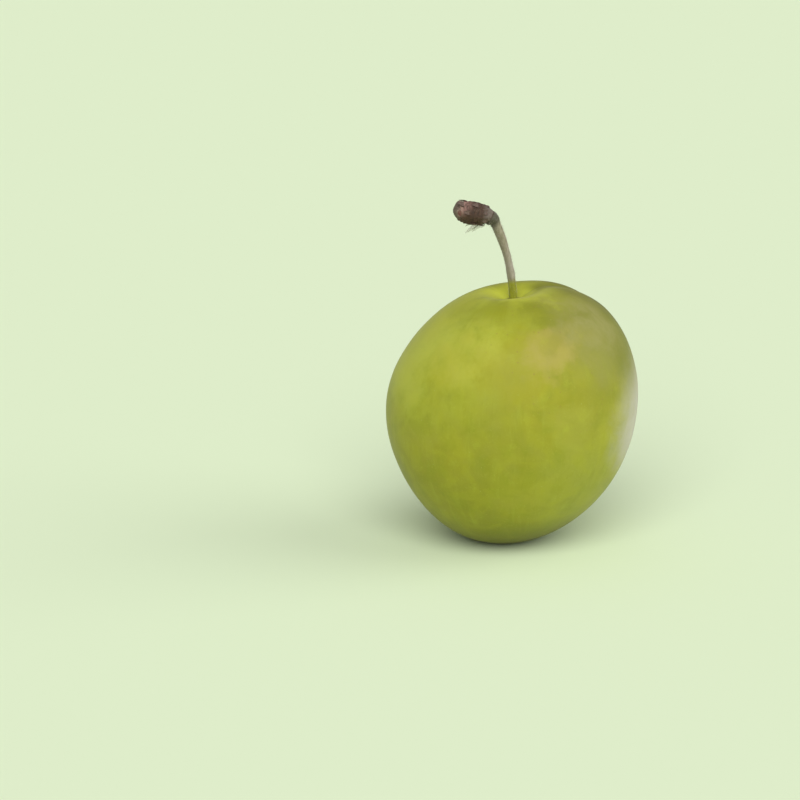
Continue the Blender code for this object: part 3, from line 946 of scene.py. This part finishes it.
class SkinFinish(Finish):
    """Greengage skin, one layer after another. A place on it is told by its direction from the fruit's
    middle, by a ragged form of that direction, which gives patches uneven edges, by its rise, which is the
    direction's upright part, and by how far from the axis it is, which is the level part."""

    def __init__(self, middle):
        super().__init__("plum_skin", SKIN_TINTS, middle)
        self.direction = self.vector("NORMALIZE", self.from_middle)
        drift_inputs = {"Vector": self.millimetres, "Scale": 0.15, "Detail": 4.0, "Roughness": 0.62}
        drift = self.node("ShaderNodeTexNoise", {}, drift_inputs).outputs["Color"]
        drift = self.vector("SCALE", self.vector("SUBTRACT", drift, (0.5, 0.5, 0.5)), scale=PATCH_DRIFT)
        self.ragged_way = self.vector("NORMALIZE", self.vector("ADD", self.direction, drift))
        parts = self.node("ShaderNodeSeparateXYZ", {}, {0: self.direction}).outputs
        east, north, self.rise = (Signal(self, parts[axis]) for axis in range(3))
        self.from_axis = (east * east + north * north) ** 0.5
        self.level = (east * east + north * north + 0.0004) ** 0.5
        self.near_top = self.rise.within(0.0, 0.2)
        strand_inputs = {0: east / self.level * 7.0, 1: north / self.level * 7.0, 2: self.rise * 1.3}
        self.strand_place = self.node("ShaderNodeCombineXYZ", {}, strand_inputs).outputs[0]
        self.mottle = self.noise(0.30, 4.0, 0.55)
        self.fine = self.noise(1.7, 3.0, 0.6)
        self.blotch = self.noise(0.24, 3.0, 0.5, 0.6)
        self.smear = self.noise(0.20, 5.0, 0.62, 0.4)
        self.strands = self.noise(2.2, 4.0, 0.62, 0.25, self.strand_place)
        self.hairlines = self.noise(6.5, 2.0, 0.5, 0.1, self.strand_place)

    def facing(self, azimuth, elevation=0.0, way=None):
        """How far a place faces a side given in degrees, from -1 to 1, by its ragged or another direction."""
        way = self.ragged_way if way is None else way
        return self.measure("DOT_PRODUCT", way, plain(side_way(azimuth, elevation)))

    def patch(self, azimuth, elevation, reach, way=None):
        """A patch: 1 at its middle, fading to 0 at its reach; all three are degrees."""
        return self.facing(azimuth, elevation, way).within(float(np.cos(np.radians(reach))), 1.0)

    def patched(self, colour, patches):
        """A colour with patches laid over it."""
        for azimuth, elevation, reach, strength, tint in patches.values():
            colour = self.mixed(self.patch(azimuth, elevation, reach) * strength, colour, tint)
        return colour

    def ground(self):
        """Yellow-green flesh colour showing through, darker below as painted shade, with broad patches of
        painted light and shade, blotches, faint strands that run from the stalk to the foot, and painted
        shade on the right shoulder."""
        # Painted shade: the ground colour is darker towards the bottom
        colour = self.mixed(self.rise.within(-0.95, 0.10), (0.232, 0.242, 0.013), (0.288, 0.292, 0.021))
        colour = self.tinted(
            self.patched(colour, GROUND_PATCHES),
            broad=self.noise(0.070, 2.0, 0.5).within(0.38, 0.66),
            light_blotch=self.blotch.within(0.46, 0.62),
            dark_blotch=self.blotch.outside(0.34, 0.46),
            mottle=self.mottle.within(0.48, 0.68),
            strand=self.strands.within(0.50, 0.74),
            hairline=self.hairlines.within(0.55, 0.75),
            stipple=self.noise(2.8, 2.0, 0.6).within(0.56, 0.72))
        return self.patched(colour, SHOULDER_PATCHES)

    def ripened(self, colour):
        """A pale warm-toned patch of painted light on the cheek, riper beside it, with a tan blush and a few
        brown freckles on its right.
        """
        uneven = self.blotch.within(0.35, 0.60)
        blush = self.patch(-68.0, 43.0, 16.0) + 0.42 * self.patch(-50.0, 43.0, 17.0)
        distance, draw = self.cells(1.15)
        freckle = self.math("LESS_THAN", distance, 0.05 + 0.16 * draw) * draw.within(0.66, 0.74)
        return self.tinted(
            colour, warm=self.patch(-119.0, 41.0, 19.0) * uneven.at_least(0.60),
            ripe=self.patch(-90.0, 36.0, 23.0),
            blush=blush.within(-0.05, 1.10) * uneven.at_least(0.62),
            freckle=freckle * self.patch(-55.0, 45.0, 50.0, self.direction))

    def pores(self):
        """Small pale pores at some of the scattered cells."""
        distance, draw = self.cells(0.62)
        return distance.outside(0.03, 0.10) * draw.within(0.35, 0.70)

    def flecked(self, colour, pores):
        """Pores, and larger ragged flecks."""
        distance, draw = self.cells(0.33)
        fleck = (distance + 0.9 * (self.fine - 0.5)).outside(0.05, 0.40) * draw.within(0.60, 0.85)
        return self.tinted(colour, pore=pores, fleck=fleck)

    def hollowed(self, colour):
        """A hollow brightened by painted light, its mouth ringed by dull and bright streaks, painted light on
        the lip in front and on its left, and painted shade below the front lip.
        """
        streaks = self.noise(0.26, 2.0, 0.5, 0.6, self.strand_place) + 0.25 * (self.mottle - 0.5)
        ring = self.from_axis.within(0.14, 0.28) * self.from_axis.outside(0.42, 0.60) * self.near_top
        colour = self.tinted(
            colour, hollow=self.from_axis.outside(0.14, 0.44) * self.near_top,
            mouth_shade=ring * streaks.outside(0.32, 0.60),
            mouth_light=ring * streaks.within(0.50, 0.74))
        colour = self.patched(colour, LIP_PATCHES)
        return self.tinted(colour, below_lip=self.patch(-89.0, 63.0, 12.0, self.direction))

    def seam_masks(self):
        """Painted shade broad along the seam, a painted shadow at its mouth by the hollow, and its fine line.
        """
        sideways = plain((-np.sin(SEAM_AZIMUTH), np.cos(SEAM_AZIMUTH), 0.0))
        across = self.measure("DOT_PRODUCT", self.millimetres, sideways)
        across = self.math("ABSOLUTE", across + 0.5 * (self.mottle - 0.5))
        seam_side = self.facing(np.degrees(SEAM_AZIMUTH), 0.0, self.direction).within(0.02, 0.10)
        ragged = across + 2.4 * (self.blotch - 0.5)
        shade = ragged.outside(2.5, 9.5) * seam_side * self.rise.within(0.15, 0.55)
        shade = shade * self.from_axis.within(0.22, 0.42)
        mouth = across.outside(0.5, 3.4) * seam_side * self.from_axis.within(0.14, 0.22)
        mouth = mouth * self.from_axis.outside(0.36, 0.56) * self.near_top
        line = across.outside(0.05, 0.30) * seam_side * self.rise.within(-0.90, -0.75)
        return shade, mouth, line

    def bloom_masks(self, seam_shade):
        """The bloom: a thin film, thicker on the right shoulder and rubbed in strands, and a thick grey band
        down the right side, thick bloom and a painted sheen at once, which ends raggedly above and fades in
        rubbed patches behind."""
        lower = self.math("MINIMUM", self.rise + 0.07, 0.0)
        beyond = self.facing(25.0, 0.0, self.direction) / self.level - 1.2 * lower ** 2.0
        beyond = beyond - 0.6 * (self.rise + 0.07) ** 2.0 + 0.20 * (self.smear - 0.5)
        upper_end = (self.rise + 0.55 * (self.smear - 0.5)).within(0.12, 0.60)
        behind = self.facing(95.0).within(-0.08, 0.55) * self.smear.outside(0.40, 0.66).at_least(0.40)
        band = beyond.within(0.35, 0.79) * (1.0 - upper_end) * (1.0 - behind)
        rubbed = self.noise(1.1, 3.0, 0.6, 0.0, self.strand_place).within(0.52, 0.74)
        far_side = self.facing(80.0, 0.0, self.direction).within(-0.35, 0.85)
        shoulder = self.patch(-27.0, 53.0, 23.0) * (1.0 - 0.60 * seam_shade)
        film = 0.03 + (0.15 + 0.30 * far_side) * self.smear.within(0.42, 0.72)
        film = film + shoulder * self.smear.within(0.32, 0.62).at_least(0.40)
        film = film + 0.36 * self.patch(-37.0, 36.0, 18.0)
        film = film * (1.0 - 0.50 * rubbed) * (0.80 + 0.40 * self.fine) * self.from_axis.within(0.22, 0.45)
        film = film * (1.0 - 0.75 * seam_shade)
        band = band * self.smear.within(0.30, 0.60).at_least(0.80) * (1.0 - 0.35 * rubbed * far_side)
        return film, band


def skin_finish(middle):
    """Greengage skin: the flesh colour with its painted light and shade, the ripening, pores and flecks, the
    hollow, the seam, the bloom and a painted sheen over them, a corky callus round the stalk, and a foot
    darkened by painted shade, with the flower's scar."""
    finish = SkinFinish(middle)
    fine, rise, from_axis = finish.fine, finish.rise, finish.from_axis
    pores = finish.pores()
    seam_shade, seam_mouth, seam_line = finish.seam_masks()
    film, band = finish.bloom_masks(seam_shade)
    callus = from_axis.outside(0.052, 0.085) * finish.near_top
    flower_scar = from_axis.outside(0.035, 0.065) * (-rise).within(0.0, 0.2)
    colour = finish.hollowed(finish.flecked(finish.ripened(finish.ground()), pores))
    colour = finish.tinted(
        colour, seam_shade=seam_shade, seam_mouth=seam_mouth, seam_line=seam_line, film=film, bloom=band,
        callus=callus * fine.within(0.35, 0.60).at_least(0.55), foot_shade=(-rise).within(0.66, 0.97),
        flower_scar=flower_scar)
    roughness = 0.47 + 0.16 * (film + band) + 0.10 * (fine - 0.5) + 0.25 * callus + 0.25 * flower_scar
    relief = 0.30 * fine + 0.30 * finish.mottle + 0.22 * finish.strands + 0.22 * pores
    relief = relief - 0.10 * finish.hairlines - 0.9 * seam_line
    skin_bump = finish.bump(relief, 0.06 * MM, 0.55)
    normal = finish.bump(finish.noise(7.0), 0.012 * MM, 0.5, skin_bump)
    return finish.finished(colour, roughness, normal, {
        "IOR": 1.29, "Subsurface Weight": 0.15, "Subsurface Radius": (1.0, 0.85, 0.30),
        "Subsurface Scale": 1.6 * MM, "Sheen Weight": 0.06, "Sheen Roughness": 0.35,
        "Sheen Tint": (0.62, 0.52, 0.62, 1.0)})


def stem_finish():
    """Dry grey-green stalk: lengthwise fibres, pale tan bark with painted shade down its left side, green
    where it enters the fruit, dark at the collar, with brown specks."""
    finish = Finish("stem_stalk", STEM_TINTS)
    along, lee = finish.attribute("along"), finish.attribute("lee")
    fibres = finish.fibres(5.5, (1.0, 1.0, 0.16))
    fine = finish.noise(5.0, 3.0, 0.6)
    colour = finish.mixed(fibres.within(0.32, 0.70), (0.165, 0.150, 0.078), (0.345, 0.310, 0.215))
    colour = finish.tinted(
        colour, tan_patch=finish.noise(0.75, 3.0, 0.55).within(0.42, 0.66),
        pale_length=along.within(0.34, 0.42) * along.outside(0.50, 0.72),
        weathered=lee.within(0.30, 0.75) * fibres.within(0.40, 0.60).at_least(0.55))
    green_bark = finish.mixed(fibres.within(0.30, 0.70), (0.205, 0.215, 0.002), (0.285, 0.300, 0.005))
    colour = finish.mixed(along.outside(0.325, 0.390) * 0.97, colour, green_bark)
    collar = (along + 0.05 * (lee - 0.5)).within(0.88, 0.955)
    distance, draw = finish.cells(2.6)
    specks = distance.outside(0.08, 0.22) * draw.within(0.45, 0.60)
    colour = finish.tinted(
        colour, collar=collar * fine.at_least(0.75), speck=specks * along.within(0.30, 0.40))
    normal = finish.bump(0.6 * fibres + 0.3 * fine + 0.25 * specks, 0.06 * MM, 0.8)
    return finish.finished(colour, 0.66 + 0.20 * fine, normal, {"Sheen Weight": 0.12, "Sheen Roughness": 0.5})


def bark_finish(root):
    """Old spur wood: chocolate scales with mauve-grey weather-worn lips, a paler ring at the root, a reddish
    painted highlight on one side, a darker scar, a grey-green tip and dark cracks."""
    finish = Finish("spur_bark", BARK_TINTS)
    along, height, tint, scar = (finish.attribute(name) for name in ("along", "height", "tint", "scar"))
    patches = finish.noise(0.62, 4.0, 0.6)
    fine = finish.noise(4.2, 4.0, 0.62)
    specks = finish.noise(9.0)
    colour = finish.mixed(fine.within(0.35, 0.68), (0.034, 0.016, 0.008), (0.070, 0.034, 0.018))
    weathered_middle = plain((root + WEATHERED_SIDE) / MM)
    weathered = finish.measure("DISTANCE", finish.millimetres, weathered_middle).outside(0.8, 2.6)
    root_ring = along.outside(0.13, 0.30) * along.within(0.01, 0.05)
    colour = finish.tinted(
        colour, scale=tint.within(0.1, 0.9),
        crest=height.within(0.25, 1.0) * patches.within(0.42, 0.64).at_least(0.20),
        weathered=weathered * patches.within(0.35, 0.60).at_least(0.60),
        root_ring=root_ring * (0.40 + 0.40 * fine),
        tip=along.within(0.74, 0.97) * (0.50 + 0.25 * fine),
        crease=(-height).within(0.10, 0.80))
    scar_colour = finish.mixed(fine.within(0.40, 0.62), (0.120, 0.040, 0.030), (0.190, 0.085, 0.065))
    colour = finish.mixed(scar * 0.85, colour, scar_colour)
    colour = finish.tinted(colour, lichen=specks.within(0.60, 0.70) * patches.within(0.44, 0.58))
    normal = finish.bump(0.5 * fine + 0.4 * specks + 0.3 * patches, 0.07 * MM, 0.9)
    return finish.finished(colour, 0.72 + 0.20 * fine, normal)


def dry_scale_finish():
    """Papery dead scales: grey-brown with darker fibres."""
    finish = Finish("dry_scales", DRY_SCALE_TINTS)
    fibres = finish.fibres(4.5, (0.4, 1.0, 1.6))
    patches = finish.noise(1.1, 3.0, 0.55)
    colour = finish.mixed(fibres.within(0.35, 0.68), (0.075, 0.043, 0.030), (0.165, 0.108, 0.086))
    colour = finish.tinted(colour, patch=patches.within(0.50, 0.70))
    return finish.finished(colour, 0.62 + 0.25 * patches, finish.bump(fibres, 0.04 * MM, 0.8))


def shred_finish():
    """Pale grey papery bark, half see-through, with darker fibres."""
    finish = Finish("papery_shreds")
    fibres = finish.fibres(5.0, (0.6, 1.0, 0.6))
    colour = finish.mixed(fibres.within(0.36, 0.66), (0.500, 0.515, 0.400), (0.680, 0.705, 0.570))
    return finish.finished(colour, 0.60 + 0.25 * fibres, finish.bump(fibres, 0.03 * MM, 0.7), {"Alpha": 0.50})


def down_finish():
    """Pale grey-tan hairs, a little darker in places."""
    finish = Finish("pale_down")
    patches = finish.noise(1.6)
    colour = finish.mixed(patches.within(0.4, 0.65), (0.560, 0.520, 0.420), (0.380, 0.330, 0.280))
    return finish.finished(colour, 0.60 + 0.20 * patches)


def make_floor():
    """A wide plain floor of pale green paper at the surface that the fruit stands on."""
    corners = [(-FLOOR_HALF, -FLOOR_HALF, 0.0), (FLOOR_HALF, -FLOOR_HALF, 0.0),
               (FLOOR_HALF, FLOOR_HALF, 0.0), (-FLOOR_HALF, FLOOR_HALF, 0.0)]
    paper = bpy.data.materials.new("pale_paper")
    paper.use_nodes = True
    shader = paper.node_tree.nodes["Principled BSDF"]
    shader.inputs["Base Color"].default_value = PAPER_COLOUR
    shader.inputs["Roughness"].default_value = 0.9
    shader.inputs["Specular IOR Level"].default_value = 0.0
    mesh = bpy.data.meshes.new("floor")
    mesh.from_pydata(corners, [], [(0, 1, 2, 3)])
    mesh.materials.append(paper)
    floor = bpy.data.objects.new("floor", mesh)
    bpy.context.scene.collection.objects.link(floor)


def make_camera(middle):
    """The camera stands in front of the fruit's middle, above it by the elevation, and is turned about its
    own axes so that the fruit comes to its place in the picture."""
    data = bpy.data.cameras.new("camera")
    data.sensor_width = SENSOR_WIDTH
    focal_pixels = PIXELS_PER_MM * (CAMERA_DISTANCE / MM)
    data.lens = SENSOR_WIDTH * focal_pixels / IMAGE_SIZE
    camera = bpy.data.objects.new("camera", data)
    away = Vector((0.0, -np.cos(CAMERA_ELEVATION), np.sin(CAMERA_ELEVATION)))
    turn = np.arctan((FRUIT_PIXEL[0] - 0.5 * IMAGE_SIZE) / focal_pixels)
    nod = np.arctan((FRUIT_PIXEL[1] - 0.5 * IMAGE_SIZE) / focal_pixels)
    facing_fruit = Matrix.Rotation(0.5 * np.pi - CAMERA_ELEVATION, 4, "X")
    aside = Matrix.Rotation(turn, 4, "Y") @ Matrix.Rotation(nod, 4, "X")
    camera.matrix_world = Matrix.Translation(Vector(middle) + away * CAMERA_DISTANCE) @ facing_fruit @ aside
    bpy.context.scene.collection.objects.link(camera)
    bpy.context.scene.camera = camera


def make_light():
    """Soft studio light: an even bright room, and wide lamps in front and to the right. The strengths add up
    so that the paper keeps its own colour where nothing shades it."""
    world = bpy.data.worlds.new("studio")
    world.use_nodes = True
    room = world.node_tree.nodes["Background"]
    room.inputs["Color"].default_value = (1.0, 1.0, 1.0, 1.0)
    room.inputs["Strength"].default_value = ROOM_LIGHT
    bpy.context.scene.world = world
    for name, azimuth, elevation, strength in LAMPS:
        data = bpy.data.lights.new(name, "SUN")
        data.energy = strength
        data.angle = LAMP_WIDTH
        lamp = bpy.data.objects.new(name, data)
        lamp.rotation_mode = "QUATERNION"
        lamp.rotation_quaternion = Vector(side_way(azimuth, elevation)).to_track_quat("Z", "Y")
        bpy.context.scene.collection.objects.link(lamp)
    bpy.context.scene.view_settings.view_transform = "Standard"


def build_plum():
    """The skin, the stalk in its hollow, the knob at the stalk's collar and the small dry parts, each with
    its finish. Gives the fruit's middle."""
    shift, rest = fruit_shift()
    foot = np.array([shift[0], shift[1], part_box("plum_stem")[0][2]])
    collar_way = bend_directions(np.array(LEAN_AT_COLLAR))[0]
    root = stem_course(foot)[1][-1] + collar_way * 0.5 * TOUCHING_GAP
    style_root = shift + np.array([0.0, 0.0, rest + STYLE_ROOT_HEIGHT])
    dry = dry_scale_finish()
    dressed = ((make_skin(shift, rest), skin_finish(shift)),
               (make_stem(foot), stem_finish()),
               (make_knob(root), bark_finish(root)),
               (make_bud_scales(root), dry),
               (make_shreds(root), shred_finish()),
               (make_down(foot), down_finish()),
               (make_style_tip(style_root), dry))
    for piece, material in dressed:
        piece.data.materials.append(material)
    return shift


plum_middle = build_plum()
make_floor()
make_camera(plum_middle)
make_light()
